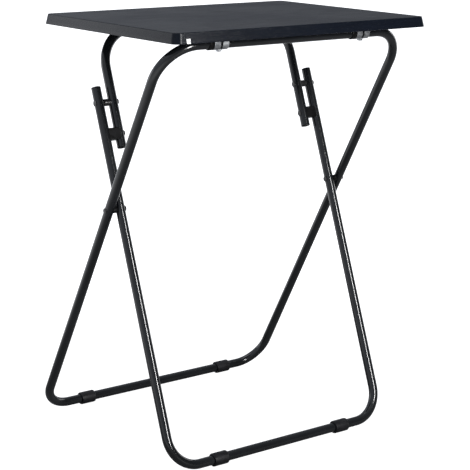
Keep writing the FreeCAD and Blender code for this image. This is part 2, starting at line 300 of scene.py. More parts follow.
def finish_material(name, specular=0.5):
    """A new material with its Principled BSDF, and the object's own coordinates."""
    material = bpy.data.materials.new(name)
    material.use_nodes = True
    tree = material.node_tree
    shader = tree.nodes["Principled BSDF"]
    shader.inputs["Specular IOR Level"].default_value = specular
    place = add_node(tree, "ShaderNodeTexCoord").outputs["Object"]
    return material, tree, shader, place


def relief(tree, shader, height, distance, strength=1.0):
    bump = add_node(tree, "ShaderNodeBump")
    bump.inputs["Distance"].default_value = distance
    bump.inputs["Strength"].default_value = strength
    wire(tree, height, bump.inputs["Height"])
    wire(tree, bump.outputs[0], shader.inputs["Normal"])


def cloudy(tree, place, scale, first, second):
    """Two colours that change slowly into each other, as "Colour" and its "Mask"."""
    return use_group(tree, MOTTLE, Place=place, Scale=scale, First=first, Second=second)


def skin_relief(tree, shader, place, distance, waves, specks):
    """The coat's own relief. waves and specks each hold a scale and a depth."""
    skin = use_group(tree, SKIN, Place=place, Wave_Scale=waves[0], Wave_Depth=waves[1],
                     Speck_Scale=specks[0], Speck_Depth=specks[1])
    relief(tree, shader, skin["Height"], distance)


def hairlines(tree, place, scale, amount):
    return use_group(tree, SCRATCH, Place=place, Scale=scale, Amount=amount)["Mask"]


def settled_dust(tree, place, amount):
    return use_group(tree, DUST, Place=place, Amount=amount)["Mask"]


def rubbed_edges(tree, place, scale, amount):
    """Rubbed places on the piece's own "edge" attribute, which mark_edges writes."""
    edge = add_node(tree, "ShaderNodeAttribute", attribute_name="edge").outputs["Fac"]
    return use_group(tree, WEAR, Place=place, Edge=edge, Scale=scale, Amount=amount)["Mask"]


def grey(value, blue=1.0):
    return (value, value, value * blue, 1.0)


def gloss_tube_paint():
    """Gloss black stove enamel on steel tube."""
    material, tree, shader, place = finish_material("gloss_black_enamel", 0.46)
    colour = cloudy(tree, place, 18.0, (0.0035, 0.0040, 0.0048, 1), (0.0060, 0.0068, 0.0080, 1))
    dust = settled_dust(tree, place, 0.16)
    marks = hairlines(tree, place, 70.0, 0.5)
    wire(tree, mix_colour(tree, dust, colour["Colour"], grey(0.09)), shader.inputs["Base Color"])
    rough = between(tree, colour["Mask"], 0.12, 0.16)
    rough = weighted(tree, weighted(tree, rough, marks, 0.14), dust, 0.8)
    wire(tree, rough, shader.inputs["Roughness"])
    skin_relief(tree, shader, place, 0.03 * MM, waves=(420.0, 0.16), specks=(2600.0, 0.02))
    return material


def board_finish():
    """Dark stained board: faint grain along the width, fine pores, a satin lacquer."""
    material, tree, shader, place = finish_material("dark_stained_board", 0.125)
    grain = noise(tree, place, 26.0, 7.0, 0.62, (1.0, 16.0, 16.0))
    rings = noise(tree, place, 9.0, 3.0, 0.5, (0.6, 5.0, 5.0))
    band = remap(tree, math_node(tree, "ADD", math_node(tree, "MULTIPLY", grain, 0.6),
                                 math_node(tree, "MULTIPLY", rings, 0.4)), 0.38, 0.62)
    stain = mix_colour(tree, band, (0.0030, 0.0045, 0.0082, 1), (0.0050, 0.0070, 0.0118, 1))
    cloud = cloudy(tree, place, 7.0, grey(0.86), grey(1.0, 1.04))
    tone = multiply_colours(tree, stain, cloud["Colour"])
    rubbed = rubbed_edges(tree, place, 130.0, 0.30)
    dust = settled_dust(tree, place, 0.10)
    rubbed = math_node(tree, "MULTIPLY", rubbed, 0.5)
    colour = mix_colour(tree, rubbed, tone, (0.06, 0.06, 0.062, 1))
    wire(tree, mix_colour(tree, dust, colour, grey(0.22)), shader.inputs["Base Color"])
    marks = hairlines(tree, place, 22.0, 0.6)
    rough = remap(tree, grain, 0.3, 0.7, 0.47, 0.39)
    rough = weighted(tree, weighted(tree, rough, marks, -0.05), cloud["Mask"], 0.05)
    # The edges are smoother and glossier than the top face.
    height_above = add_node(tree, "ShaderNodeSeparateXYZ")
    wire(tree, place, height_above.inputs[0])
    top_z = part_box("tray_board")[1].z
    on_top = remap(tree, height_above.outputs["Z"], top_z - 1.2 * MM, top_z - 0.2 * MM)
    smooth = remap(tree, grain, 0.3, 0.7, 0.28, 0.24)
    blend = add_node(tree, "ShaderNodeMix", data_type="FLOAT")
    wire(tree, on_top, blend.inputs[0])
    wire(tree, smooth, blend.inputs[2])
    wire(tree, rough, blend.inputs[3])
    wire(tree, blend.outputs[0], shader.inputs["Roughness"])
    pores = noise(tree, place, 190.0, 3.0, 0.6, (1.0, 11.0, 11.0))
    pores = remap(tree, pores, 0.55, 0.75, 0.0, -1.0)
    height = math_node(tree, "ADD", math_node(tree, "MULTIPLY", grain, 0.5), pores)
    relief(tree, shader, height, 0.05 * MM, 0.8)
    return material


def zinc_sheet():
    """Zinc plated sheet steel: bright, cloudy, lightly scratched."""
    material, tree, shader, place = finish_material("zinc_plated_sheet")
    cloud = cloudy(tree, place, 160.0, (0.22, 0.23, 0.24, 1), (0.36, 0.37, 0.38, 1))
    marks = hairlines(tree, place, 260.0, 0.8)
    wire(tree, mix_colour(tree, marks, cloud["Colour"], grey(0.78)), shader.inputs["Base Color"])
    wire(tree, between(tree, marks, 0.93, 1.0), shader.inputs["Metallic"])
    rough = between(tree, cloud["Mask"], 0.30, 0.42)
    wire(tree, weighted(tree, rough, marks, -0.1), shader.inputs["Roughness"])
    skin_relief(tree, shader, place, 0.03 * MM, waves=(700.0, 0.5), specks=(5200.0, 0.3))
    return material


def screw_metal():
    """Plated wood screws, dulled in the recess."""
    material, tree, shader, place = finish_material("plated_screw_steel")
    cloud = cloudy(tree, place, 420.0, (0.36, 0.35, 0.33, 1), (0.60, 0.59, 0.56, 1))
    wire(tree, cloud["Colour"], shader.inputs["Base Color"])
    wire(tree, between(tree, cloud["Mask"], 0.88, 1.0), shader.inputs["Metallic"])
    wire(tree, between(tree, cloud["Mask"], 0.46, 0.28), shader.inputs["Roughness"])
    skin_relief(tree, shader, place, 0.02 * MM, waves=(1600.0, 0.6), specks=(7000.0, 0.3))
    return material


def rivet_enamel():
    """Black rivets whose crowns are rubbed to bare steel in places."""
    material, tree, shader, place = finish_material("black_rivet_enamel", 0.45)
    cloud = cloudy(tree, place, 300.0, grey(0.006), grey(0.012, 1.05))
    rubbed = rubbed_edges(tree, place, 420.0, 0.5)
    wire(tree, mix_colour(tree, rubbed, cloud["Colour"], grey(0.42)), shader.inputs["Base Color"])
    wire(tree, math_node(tree, "MULTIPLY", rubbed, 0.9), shader.inputs["Metallic"])
    wire(tree, between(tree, cloud["Mask"], 0.24, 0.36), shader.inputs["Roughness"])
    skin_relief(tree, shader, place, 0.04 * MM, waves=(900.0, 0.5), specks=(4200.0, 0.2))
    return material


def foot_rubber():
    """Black rubber with a soft bloom, scuffed where it rubs the floor."""
    material, tree, shader, place = finish_material("scuffed_black_rubber", 0.25)
    cloud = cloudy(tree, place, 75.0, grey(0.0030, 1.3), grey(0.0055, 1.3))
    scuffs = rubbed_edges(tree, place, 260.0, 0.5)
    dust = settled_dust(tree, place, 0.25)
    worn = math_node(tree, "MULTIPLY", scuffs, 0.6)
    colour = mix_colour(tree, worn, cloud["Colour"], grey(0.06, 1.2))
    wire(tree, mix_colour(tree, dust, colour, grey(0.14, 1.15)), shader.inputs["Base Color"])
    rough = between(tree, cloud["Mask"], 0.40, 0.54)
    wire(tree, weighted(tree, rough, scuffs, 0.2), shader.inputs["Roughness"])
    skin_relief(tree, shader, place, 0.06 * MM, waves=(700.0, 0.4), specks=(3600.0, 0.8))
    return material


def moulded_plastic():
    """Black moulded nylon with a fine spark-eroded texture."""
    material, tree, shader, place = finish_material("moulded_black_nylon", 0.10)
    cloud = cloudy(tree, place, 90.0, grey(0.0030), grey(0.0055, 1.1))
    marks = hairlines(tree, place, 150.0, 0.7)
    marks = math_node(tree, "MULTIPLY", marks, 0.4)
    wire(tree, mix_colour(tree, marks, cloud["Colour"], grey(0.08)), shader.inputs["Base Color"])
    wire(tree, between(tree, cloud["Mask"], 0.30, 0.44), shader.inputs["Roughness"])
    skin_relief(tree, shader, place, 0.04 * MM, waves=(1200.0, 0.5), specks=(4200.0, 0.7))
    return material


def label_film():
    """Blank white film, a little yellowed and scuffed."""
    material, tree, shader, place = finish_material("blank_white_film")
    cloud = cloudy(tree, place, 180.0, (0.80, 0.80, 0.78, 1), (0.88, 0.88, 0.87, 1))
    marks = hairlines(tree, place, 300.0, 0.5)
    wire(tree, mix_colour(tree, marks, cloud["Colour"], grey(0.7)), shader.inputs["Base Color"])
    wire(tree, between(tree, cloud["Mask"], 0.28, 0.38), shader.inputs["Roughness"])
    skin_relief(tree, shader, place, 0.02 * MM, waves=(600.0, 0.6), specks=(4000.0, 0.1))
    return material


ENAMEL = gloss_tube_paint()
BOARD = board_finish()
ZINC = zinc_sheet()
SCREW = screw_metal()
RIVET = rivet_enamel()
RUBBER = foot_rubber()
NYLON = moulded_plastic()
FILM = label_film()


# ---- Geometry Nodes: round stock, and small parts set at places ----

def geometry_tree(name, inputs):
    tree = bpy.data.node_groups.new(name, "GeometryNodeTree")
    tree.interface.new_socket(name="Geometry", in_out="INPUT", socket_type="NodeSocketGeometry")
    for label, kind in inputs:
        tree.interface.new_socket(name=label, in_out="INPUT", socket_type="NodeSocket" + kind)
    tree.interface.new_socket(name="Geometry", in_out="OUTPUT", socket_type="NodeSocketGeometry")
    return tree, add_node(tree, "NodeGroupInput").outputs, add_node(tree, "NodeGroupOutput").inputs


def named(tree, name, data_type="FLOAT"):
    node = add_node(tree, "GeometryNodeInputNamedAttribute", data_type=data_type)
    node.inputs["Name"].default_value = name
    return node.outputs["Attribute"]


def swept_round(tree, lines, sides, seal):
    """Sweeps a circle along the lines. Their "reach" attribute is the radius at each point."""
    curve = add_node(tree, "GeometryNodeMeshToCurve")
    wire(tree, lines, curve.inputs["Mesh"])
    ring = add_node(tree, "GeometryNodeCurvePrimitiveCircle", mode="RADIUS")
    ring.inputs["Radius"].default_value = 1.0
    wire(tree, sides, ring.inputs["Resolution"])
    sweep = add_node(tree, "GeometryNodeCurveToMesh")
    wire(tree, curve.outputs[0], sweep.inputs["Curve"])
    wire(tree, ring.outputs["Curve"], sweep.inputs["Profile Curve"])
    wire(tree, named(tree, "reach"), sweep.inputs["Scale"])
    wire(tree, seal, sweep.inputs["Fill Caps"])
    return sweep.outputs[0]


def finished(tree, geometry, material, put):
    realized = add_node(tree, "GeometryNodeRealizeInstances")
    wire(tree, geometry, realized.inputs[0])
    smooth = add_node(tree, "GeometryNodeSetShadeSmooth")
    wire(tree, realized.outputs[0], smooth.inputs[0])
    painted = add_node(tree, "GeometryNodeSetMaterial")
    wire(tree, smooth.outputs[0], painted.inputs["Geometry"])
    wire(tree, material, painted.inputs["Material"])
    wire(tree, painted.outputs[0], put["Geometry"])


def make_tube_tree():
    """A bent tube along its path."""
    tree, given, put = geometry_tree(
        "bent_tube", [("Sides", "Int"), ("Seal Ends", "Bool"), ("Finish", "Material")])
    swept = swept_round(tree, given["Geometry"], given["Sides"], given["Seal Ends"])
    finished(tree, swept, given["Finish"], put)
    return tree


def lines_and_places(tree, geometry):
    """Parts the lines from the points that are marked "is_place"."""
    parted = add_node(tree, "GeometryNodeSeparateGeometry", domain="POINT")
    wire(tree, geometry, parted.inputs["Geometry"])
    wire(tree, named(tree, "is_place"), parted.inputs["Selection"])
    return parted.outputs["Inverted"], parted.outputs["Selection"]


def set_at_places(tree, places, part, euler):
    """The part at each place, turned by the angles in euler."""
    turn = add_node(tree, "FunctionNodeEulerToRotation")
    wire(tree, euler, turn.inputs["Euler"])
    placed = add_node(tree, "GeometryNodeInstanceOnPoints")
    wire(tree, places, placed.inputs["Points"])
    wire(tree, part, placed.inputs["Instance"])
    wire(tree, turn.outputs[0], placed.inputs["Rotation"])
    return placed.outputs[0]


def make_turned_tree():
    """One turned part, repeated at each point marked "is_place", with that point's "turn"."""
    tree, given, put = geometry_tree("turned_parts", [("Sides", "Int"), ("Finish", "Material")])
    lines, places = lines_and_places(tree, given["Geometry"])
    part = swept_round(tree, lines, given["Sides"], seal=True)
    merged = add_node(tree, "GeometryNodeMergeByDistance")
    wire(tree, part, merged.inputs["Geometry"])
    merged.inputs["Distance"].default_value = 2 * HAIR
    turn = named(tree, "turn", "FLOAT_VECTOR")
    finished(tree, set_at_places(tree, places, merged.outputs[0], turn), given["Finish"], put)
    return tree


def make_screw_tree():
    """Pan-head wood screws with a cross recess. Each one is turned by chance, from a fixed seed."""
    tree, given, put = geometry_tree(
        "cross_recess_screws",
        [("Sides", "Int"), ("Slot Length", "Float"), ("Slot Width", "Float"),
         ("Slot Depth", "Float"), ("Seed", "Int"), ("Finish", "Material")])
    lines, places = lines_and_places(tree, given["Geometry"])
    body = swept_round(tree, lines, given["Sides"], seal=True)
    cut = add_node(tree, "GeometryNodeMeshBoolean", operation="DIFFERENCE")
    wire(tree, body, cut.inputs[0])
    for turned in (False, True):
        size = add_node(tree, "ShaderNodeCombineXYZ")
        wire(tree, given["Slot Width" if turned else "Slot Length"], size.inputs[0])
        wire(tree, given["Slot Length" if turned else "Slot Width"], size.inputs[1])
        wire(tree, math_node(tree, "MULTIPLY", given["Slot Depth"], 2.0), size.inputs[2])
        bar = add_node(tree, "GeometryNodeMeshCube")
        wire(tree, size.outputs[0], bar.inputs["Size"])
        wire(tree, bar.outputs["Mesh"], cut.inputs[1])
    spin = add_node(tree, "FunctionNodeRandomValue", data_type="FLOAT")
    spin.inputs[2].default_value = 0.0
    spin.inputs[3].default_value = math.tau
    wire(tree, given["Seed"], spin.inputs["Seed"])
    euler = add_node(tree, "ShaderNodeCombineXYZ")
    wire(tree, spin.outputs[1], euler.inputs[2])
    screws = set_at_places(tree, places, cut.outputs[0], euler.outputs[0])
    finished(tree, screws, given["Finish"], put)
    return tree


TUBE_TREE = make_tube_tree()
TURNED_TREE = make_turned_tree()
SCREW_TREE = make_screw_tree()


def as_plain_mesh(obj, sharp_degrees=None):
    """Turns the evaluated object into its plain mesh, and takes its modifiers off."""
    graph = bpy.context.evaluated_depsgraph_get()
    mesh = bpy.data.meshes.new_from_object(obj.evaluated_get(graph), depsgraph=graph)
    mesh.name = obj.name
    obj.modifiers.clear()
    obj.data = mesh
    for name in ("reach", "is_place", "turn"):
        attribute = mesh.attributes.get(name)
        if attribute is not None:
            mesh.attributes.remove(attribute)
    work = bmesh.new()
    work.from_mesh(mesh)
    bmesh.ops.recalc_face_normals(work, faces=work.faces)
    work.to_mesh(mesh)
    work.free()
    if sharp_degrees is not None:
        mesh.set_sharp_from_angle(angle=math.radians(sharp_degrees))
    return obj


def new_object(name, mesh):
    obj = bpy.data.objects.new(name, mesh)
    bpy.context.scene.collection.objects.link(obj)
    return obj


def line_mesh(name, runs, places=()):
    """Lines with a radius at each point, and loose points that mark places.
    runs holds (points, radii, closed). places holds (point, turn)."""
    points, edges, reach = [], [], []
    for run, radii, closed in runs:
        start = len(points)
        points += run
        reach += radii
        edges += [(start + i, start + i + 1) for i in range(len(run) - 1)]
        if closed:
            edges.append((start + len(run) - 1, start))
    is_place = [False] * len(points)
    turns = [STRAIGHT] * len(points)
    for point, turn in places:
        points.append(point)
        reach.append(0.0)
        is_place.append(True)
        turns.append(turn)
    mesh = bpy.data.meshes.new(name)
    mesh.from_pydata([tuple(p) for p in points], edges, [])
    mesh.attributes.new("reach", "FLOAT", "POINT").data.foreach_set("value", reach)
    mesh.attributes.new("is_place", "BOOLEAN", "POINT").data.foreach_set("value", is_place)
    flat = [value for turn in turns for value in turn]
    mesh.attributes.new("turn", "FLOAT_VECTOR", "POINT").data.foreach_set("vector", flat)
    return mesh


def grown(name, tree, values, runs, places=(), sharp_degrees=None):
    """The plain mesh that a Geometry Nodes tree makes from lines and places.
    An input is set by its socket's identifier, which values names by its label."""
    obj = new_object(name, line_mesh(name, runs, places))
    modifier = obj.modifiers.new(tree.name, "NODES")
    modifier.node_group = tree
    for item in tree.interface.items_tree:
        if item.in_out == "INPUT" and item.name in values:
            modifier[item.identifier] = values[item.name]
    return as_plain_mesh(obj, sharp_degrees)


def mark_edges(obj, sharpest=0.9):
    """Writes the "edge" attribute: how strongly the surface turns at each point, and 1 from an
    angle of sharpest, in radians."""
    mesh = obj.data
    work = bmesh.new()
    work.from_mesh(mesh)
    bend = [0.0] * len(work.verts)
    for edge in work.edges:
        if len(edge.link_faces) == 2 and edge.is_convex:
            angle = edge.calc_face_angle(0.0)
            for vertex in edge.verts:
                bend[vertex.index] = max(bend[vertex.index], min(1.0, angle / sharpest))
    work.free()
    mesh.attributes.new("edge", "FLOAT", "POINT").data.foreach_set("value", bend)


def hand_in(obj, body, slot, *nodes):
    """Rides the piece on its body and hides the CAD nodes that it stands for. Its slot, the name of
    its finish, is not used.
    """
    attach(obj, body)
    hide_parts(*nodes)


# ---- Places read from the CAD boxes ----

def middle(node):
    low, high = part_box(node)
    return (low + high) / 2


def bar_at(node, upper, back):
    """(y, z) of a frame's bar along X: the top or floor bar, at the back or front of the box."""
    low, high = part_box(node)
    y = high.y - TUBE_RADIUS if back else low.y + TUBE_RADIUS
    z = high.z - TUBE_RADIUS if upper else low.z + TUBE_RADIUS
    return y, z


def tail_end(node, bar, upper, back):
    """(y, z) of the open end of a leg from bar. The end leans, so it is found by steps."""
    low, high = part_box(node)
    edge_y = high.y if back else low.y
    edge_z = high.z if upper else low.z
    y, z = edge_y, edge_z
    for _ in range(12):
        lean = Vector((0, y - bar[0], z - bar[1])).normalized()
        y = edge_y - TUBE_RADIUS * abs(lean.z) * (1 if back else -1)
        z = edge_z - TUBE_RADIUS * abs(lean.y) * (1 if upper else -1)
    return y, z


# ---- Tube frames ----

def bent_points(corners, radii, closed):
    """Points of straight runs joined by arcs. Each corner that bends has its radius."""
    points = []
    count = len(corners)
    for i, corner in enumerate(corners):
        if not closed and i in (0, count - 1):
            points.append(corner)
            continue
        behind = (corners[i - 1] - corner).normalized()
        ahead = (corners[(i + 1) % count] - corner).normalized()
        half = behind.angle(ahead) / 2
        centre = corner + (behind + ahead).normalized() * (radii[i] / math.sin(half))
        first = corner + behind * (radii[i] / math.tan(half)) - centre
        last = corner + ahead * (radii[i] / math.tan(half)) - centre
        turn = first.rotation_difference(last)
        axis, angle = turn.to_axis_angle()
        for step in range(BEND_STEPS + 1):
            points.append(centre + Matrix.Rotation(angle * step / BEND_STEPS, 3, axis) @ first)
    return points


def tube_piece(name, body, node, corners, radii, closed):
    points = bent_points(corners, radii, closed)
    obj = grown(name, TUBE_TREE, {"Sides": TUBE_SIDES, "Seal Ends": False, "Finish": ENAMEL},
                [(points, [TUBE_RADIUS] * len(points), closed)])
    if not closed:
        # Open ends show the wall, so the tube gets its thickness.
        wall = obj.modifiers.new("wall", "SOLIDIFY")
        wall.thickness = TUBE_WALL
        wall.offset = -1.0
        wall.use_rim = True
        as_plain_mesh(obj, sharp_degrees=50)
    hand_in(obj, body, "tube_paint", node)


outer_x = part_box("outer_frame_tube")[1].x - TUBE_RADIUS
inner_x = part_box("inner_leg_tube")[1].x - TUBE_RADIUS
upper_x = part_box("upper_knee_tube")[1].x - TUBE_RADIUS
outer_top = bar_at("outer_frame_tube", upper=True, back=False)
outer_floor = bar_at("outer_frame_tube", upper=False, back=True)
inner_floor = bar_at("inner_leg_tube", upper=False, back=False)
inner_end = tail_end("inner_leg_tube", inner_floor, upper=True, back=True)
upper_top = bar_at("upper_knee_tube", upper=True, back=True)
upper_end = tail_end("upper_knee_tube", upper_top, upper=False, back=False)
inner_up = Vector((0, inner_end[0] - inner_floor[0], inner_end[1] - inner_floor[1])).normalized()
upper_down = Vector((0, upper_end[0] - upper_top[0], upper_end[1] - upper_top[1])).normalized()


def across(x, bar):
    return Vector((x, bar[0], bar[1]))


tube_piece(
    "outer_frame_loop", "outer_frame", "outer_frame_tube",
    [across(-outer_x, outer_top), across(outer_x, outer_top), across(outer_x, outer_floor),
     across(-outer_x, outer_floor)],
    [TOP_BEND, TOP_BEND, FLOOR_BEND, FLOOR_BEND], closed=True)
tube_piece(
    "inner_leg_bent_tube", "inner_leg", "inner_leg_tube",
    [across(-inner_x, inner_end), across(-inner_x, inner_floor), across(inner_x, inner_floor),
     across(inner_x, inner_end)],
    [0, FLOOR_BEND, FLOOR_BEND, 0], closed=False)
tube_piece(
    "upper_knee_bent_tube", "upper_knee", "upper_knee_tube",
    [across(-upper_x, upper_end), across(-upper_x, upper_top), across(upper_x, upper_top),
     across(upper_x, upper_end)],
    [0, TOP_BEND, TOP_BEND, 0], closed=False)


# ---- Turned parts ----

def rounded_profile(corners, roundings, steps=4):
    """(along, radius) points with the inner corners rounded. roundings has a radius for each."""
    profile = []
    for i, corner in enumerate(corners):
        here = Vector(corner)
        size = roundings[i]
        if size == 0 or i in (0, len(corners) - 1):
            profile.append(here)
            continue
        before = Vector(corners[i - 1]) - here
        after = Vector(corners[i + 1]) - here
        first = here + before.normalized() * min(size, before.length * ROUNDING_SHARE)
        last = here + after.normalized() * min(size, after.length * ROUNDING_SHARE)
        for step in range(steps + 1):
            t = step / steps
            profile.append(first * (1 - t) ** 2 + here * 2 * t * (1 - t) + last * t * t)
    return profile


def turned_piece(name, body, slot, material, profile, axis, places, nodes, sides=48, sharp=40):
    """Turned parts along an axis. Steps square to the axis lean by a hair, so the sweep holds."""
    run, radii = [], []
    lowest = None
    for distance, radius in profile:
        if lowest is not None and distance <= lowest:
            distance = lowest + HAIR
        lowest = distance
        run.append(axis * distance)
        radii.append(max(radius, LEAST_RADIUS))
    obj = grown(name, TURNED_TREE, {"Sides": sides, "Finish": material},
                [(run, radii, False)], places, sharp)
    mark_edges(obj)
    hand_in(obj, body, slot, *nodes)


def quarter_turn(steps):
    """Angles from nothing to a right angle."""
    return [math.radians(90 * step / steps) for step in range(steps + 1)]


def dome(start, height, radius, steps=8):
    """Half of a low domed head, from its rim at start to its crown."""
    points = [(start, radius * 0.97), (start + 0.1 * height, radius)]
    for angle in quarter_turn(steps):
        points.append((start + height * (0.35 + 0.65 * math.sin(angle)), radius * math.cos(angle)))
    return points


def mirrored(profile):
    return [(-distance, radius) for distance, radius in reversed(profile)]


def names(name):
    return tuple(name + "_" + side for side, _ in SIDES)


def pair(name):
    """The places of a left and right pair."""
    return [(middle(node), STRAIGHT) for node in names(name)]


def half_length_and_radius(node):
    """The half length and the radius of a round node that lies along X."""
    low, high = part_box(node)
    return (high.x - low.x) / 2, (high.z - low.z) / 2


def sleeve_profile(node, bore, rounding, steps):
    """A plain sleeve of the node's size, with rounded rims."""
    half, radius = half_length_and_radius(node)
    corners = [(-half, bore), (-half, radius), (half, radius), (half, bore)]
    return rounded_profile(corners, [0, rounding, rounding, 0], steps)


def foot_piece(name, body, bar):
    places = [(across(middle(node).x, bar), STRAIGHT) for node in names(name)]
    profile = sleeve_profile(name + "_left", TUBE_RADIUS - SLEEVE_GRIP, FOOT_ROUNDING, 5)
    turned_piece(name + "_sleeves", body, "foot_rubber", RUBBER, profile, X_AXIS, places,
                 names(name), FOOT_SIDES)


foot_piece("outer_foot", "outer_frame", outer_floor)
foot_piece("inner_foot", "inner_leg", inner_floor)
turned_piece("bar_collar_rings", "outer_frame", "black_plastic", NYLON,
             sleeve_profile("bar_collar_left", TUBE_RADIUS - SLEEVE_GRIP, COLLAR_ROUNDING, 4),
             X_AXIS, pair("bar_collar"), names("bar_collar"), TUBE_SIDES)


def plugs(name, body, end, outwards, x):
    """Domed caps with the shank that goes into the tube."""
    shank = TUBE_RADIUS - TUBE_WALL - PLUG_PLAY
    profile = [(-PLUG_DEPTH, shank * 0.9), (-PLUG_DEPTH + PLUG_CHAMFER, shank), (0.0, shank)]
    profile += dome(0.0, PLUG_CAP, TUBE_RADIUS - LEAST_RADIUS)
    places = [(across(sign * x, end), STRAIGHT) for _, sign in SIDES]
    turned_piece(name + "_caps", body, "black_plastic", NYLON, profile, outwards, places,
                 names(name), TUBE_SIDES)


plugs("inner_leg_plug", "inner_leg", inner_end, inner_up, inner_x)
plugs("upper_knee_plug", "upper_knee", upper_end, upper_down, upper_x)


def scissor_rivets():
    """Through rivets with a domed head at each end."""
    half, _ = half_length_and_radius("scissor_rivet_left")
    head = dome(half - RIVET_HEAD_HEIGHT, RIVET_HEAD_HEIGHT, RIVET_HEAD)
    shank = [(half - RIVET_HEAD_HEIGHT, RIVET_SHANK)]
    profile = mirrored(shank + head) + shank + head
    turned_piece("scissor_rivets", "outer_frame", "rivet_black", RIVET, profile, X_AXIS,
                 pair("scissor_rivet"), names("scissor_rivet"))


scissor_rivets()
turned_piece("scissor_spacer_bushes", "outer_frame", "black_plastic", NYLON,
             sleeve_profile("scissor_spacer_left", RIVET_SHANK, SPACER_ROUNDING, 3), X_AXIS,
             pair("scissor_spacer"), names("scissor_spacer"))


def headed_pin(name, piece, body, head_outwards, head_height, spacer_length=0.0):
    """A pin along X with one domed head. The head faces away from the middle, or towards it."""
    half, radius = half_length_and_radius(name + "_right")
    profile = [(-half, 0.0), (-half, RIVET_SHANK)]
    if spacer_length > 0:
        start = -half + spacer_length
        corners = [(-half, 0.0), (-half, radius), (start, radius), (start, RIVET_SHANK)]
        profile = rounded_profile(corners, [0, SPACER_ROUNDING, 0, 0], 3)
    profile += [(half - head_height, RIVET_SHANK)]
    profile += dome(half - head_height, head_height, RIVET_HEAD)
    places = []
    for side, sign in SIDES:
        faces_right = (sign > 0) == head_outwards
        places.append((middle(name + "_" + side), STRAIGHT if faces_right else ABOUT))
    turned_piece(piece, body, "rivet_black", RIVET, profile, X_AXIS, places, names(name))


headed_pin("knee_rivet", "knee_rivets", "inner_leg", head_outwards=True,
           head_height=KNEE_HEAD_HEIGHT)
headed_pin("knee_bush", "knee_bushes", "upper_knee", head_outwards=False,
           head_height=RIVET_HEAD_HEIGHT, spacer_length=inner_x - upper_x - TUBE_RADIUS)
headed_pin("lock_rivet", "lock_rivets", "upper_knee", head_outwards=False,
           head_height=RIVET_HEAD_HEIGHT)


# ---- Screws ----

def screw_piece(name, node):
    """Four screws: two through each clip of a pair, with their heads down."""
    low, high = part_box(node)
    xs = [middle(clip).x for clip in names(node.replace("_screws", ""))]
    ys = [low.y + SCREW_HEAD, high.y - SCREW_HEAD]
    seat = SCREW_HEAD_HEIGHT
    places = [(Vector((x, y, low.z)), STRAIGHT) for x in xs for y in ys]
    crown = reversed(dome(0.0, SCREW_HEAD_HEIGHT, SCREW_HEAD))
    profile = [(seat - distance, radius) for distance, radius in crown]
    profile += [(seat + HAIR, SCREW_SHANK),
                (seat + SCREW_LENGTH * SCREW_SHANK_SHARE, SCREW_SHANK * 0.9),
                (seat + SCREW_LENGTH, SCREW_TIP)]
    run = [Z_AXIS * distance for distance, _ in profile]
    radii = [max(radius, LEAST_RADIUS) for _, radius in profile]
    sizes = {"Sides": SCREW_SIDES, "Slot Length": SLOT_LENGTH, "Slot Width": SLOT_WIDTH,
             "Slot Depth": SLOT_DEPTH, "Seed": SCREW_SEED, "Finish": SCREW}
    obj = grown(name, SCREW_TREE, sizes, [(run, radii, False)], places, sharp_degrees=35)
    hand_in(obj, "tray", "screw_steel", node)


screw_piece("front_wood_screws", "front_clip_screws")
screw_piece("rear_wood_screws", "rear_clip_screws")


# ---- Tray board ----

def outline(half_x, half_y, radius, centre, z, steps=8):
    """The points of a rectangle with rounded corners, at height z."""
    points = []
    for corner, (sx, sy) in enumerate(((1, 1), (-1, 1), (-1, -1), (1, -1))):
        for step in range(steps + 1):
            angle = math.radians(90 * (corner + step / steps))
            points.append((centre.x + sx * (half_x - radius) + radius * math.cos(angle),
                           centre.y + sy * (half_y - radius) + radius * math.sin(angle), z))
    return points


def board_rings(low, high):
    """(inset, z) of each ring of the board, from the underside, up the sloping edge, to the top."""
    height = high.z - low.z
    slope = BOARD_EDGE_SET_IN / height
    rings = [(FLAT_BORDER, low.z)]
    for angle in quarter_turn(3):
        rings.append((BOARD_BOTTOM_ROUNDING * (1 - math.sin(angle)),
                      low.z + BOARD_BOTTOM_ROUNDING * (1 - math.cos(angle))))
    for share in (0.35, 0.75):
        rings.append((share * height * slope, low.z + share * height))
    base = BOARD_EDGE_SET_IN * (1 - BOARD_TOP_ROUNDING / height)
    for angle in quarter_turn(5):
        rings.append((base + BOARD_TOP_ROUNDING * (1 - math.cos(angle)),
                      high.z - BOARD_TOP_ROUNDING * (1 - math.sin(angle))))
    rings.append((BOARD_EDGE_SET_IN + FLAT_BORDER, high.z))
    return rings


def board_mesh():
    """The board: flat, with edges that slope in towards the top, and rounded arrises."""
    low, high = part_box("tray_board")
    centre = (low + high) / 2
    half_x = (high.x - low.x) / 2
    half_y = (high.y - low.y) / 2
    rings = board_rings(low, high)
    vertices, faces = [], []
    for inset, z in rings:
        radius = max(BOARD_CORNER - inset * 0.5, BOARD_LEAST_CORNER)
        vertices += outline(half_x - inset, half_y - inset, radius, centre, z)
    around = len(vertices) // len(rings)
    for ring in range(len(rings) - 1):
        here, above = ring * around, (ring + 1) * around
        for i in range(around):
            j = (i + 1) % around
            faces.append((here + i, here + j, above + j, above + i))
    faces.append(tuple(reversed(range(around))))
    last = (len(rings) - 1) * around
    faces.append(tuple(range(last, last + around)))
    mesh = bpy.data.meshes.new("tray_top_panel")
    mesh.from_pydata(vertices, [], faces)
    mesh.materials.append(BOARD)
    for polygon in mesh.polygons:
        polygon.use_smooth = True
    return mesh


def groove_cutter(collar):
    """A round bar, a little larger than the collar, that leaves a groove for it in the board."""
    low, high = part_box(collar)
    radius = (high.z - low.z) / 2 + COLLAR_RELIEF
    run = [across(x, outer_top) for x in (low.x - COLLAR_RELIEF, high.x + COLLAR_RELIEF)]
    return grown("groove_cutter", TUBE_TREE,
                 {"Sides": GROOVE_SIDES, "Seal Ends": True, "Finish": BOARD},
                 [(run, [radius] * 2, False)])


